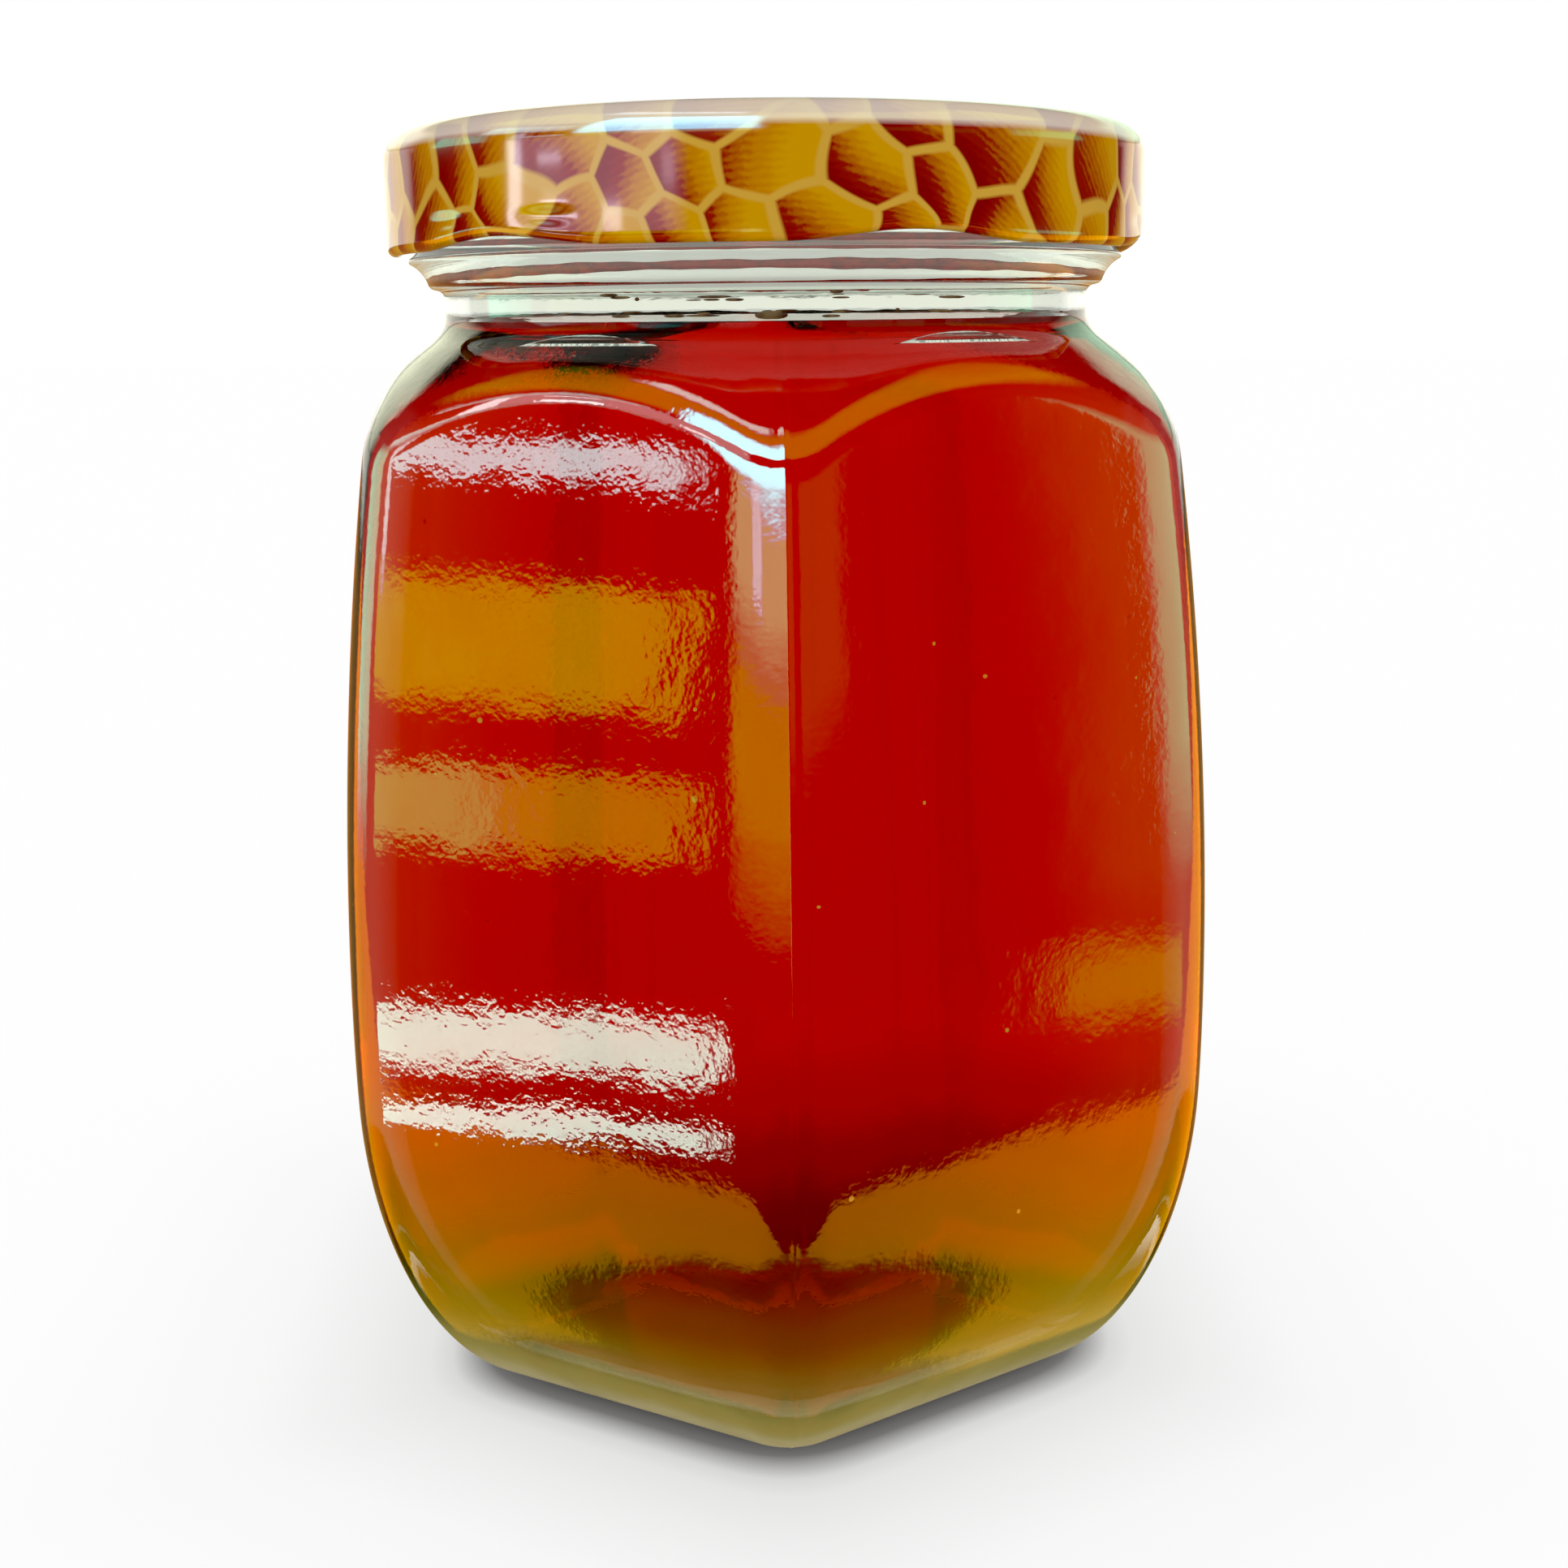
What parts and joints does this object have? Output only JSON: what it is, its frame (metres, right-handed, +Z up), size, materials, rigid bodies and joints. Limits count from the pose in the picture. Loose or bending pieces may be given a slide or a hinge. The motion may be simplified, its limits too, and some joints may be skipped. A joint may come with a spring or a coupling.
{
  "type": "honey jar",
  "caption": "Hexagonal glass jar with softly bulging faces and a round shoulder, filled with amber honey and shut by a patterned twist-off metal lid.",
  "frame": {"origin": "centre of the foot, on the surface that the jar stands on", "axes": "+Z up along the jar's axis; one upright corner of the hexagon points to -Y and one face to +X"},
  "size_m": [0.0956, 0.108, 0.1413],
  "materials": {
    "jar_glass": "clear flint glass, smooth and faintly rippled",
    "honey": "clear deep amber liquid",
    "lid_print": "glossy lacquered honeycomb pattern"
  },
  "bodies": {
    "root": {"glass_jar": "jar_glass", "honey": "honey", "lid": "lid_print"}
  },
  "joints": []
}
